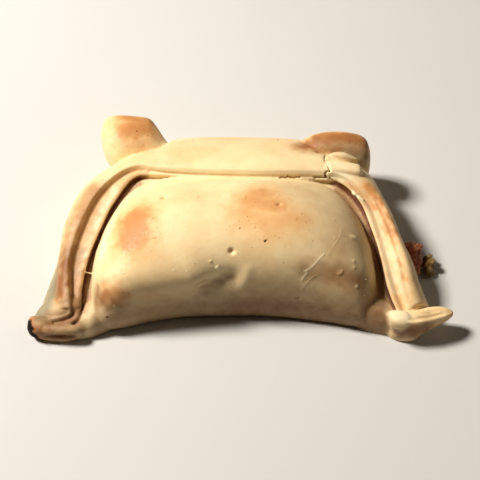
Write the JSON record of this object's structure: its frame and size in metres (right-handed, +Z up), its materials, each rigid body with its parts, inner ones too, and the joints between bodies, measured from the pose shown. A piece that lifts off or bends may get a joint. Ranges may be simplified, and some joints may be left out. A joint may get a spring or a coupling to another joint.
{
  "type": "beef and cheese empanada",
  "caption": "Large baked turnover: a plump filled pocket in a folded-over pastry border with raised corner tabs, and leaked filling at one end.",
  "frame": {"origin": "middle of the bounding box, on the flat underside", "axes": "+X along the empanada towards the end with the leaked filling, +Y from the smooth front edge towards the folded back edge, +Z up"},
  "size_m": [0.186, 0.1148, 0.042],
  "materials": {
    "pastry": "baked wheat dough, cream with browned patches, dry and slightly glossy where it is smooth",
    "leaked_beef": "cooked minced beef and its juice, dark red-brown, rough and a little greasy",
    "leaked_crumb": "dried crumb of filling, olive brown, rough"
  },
  "bodies": {
    "root": {"pastry": "pastry", "leaked_beef": "leaked_beef", "leaked_crumb": "leaked_crumb"}
  },
  "joints": []
}
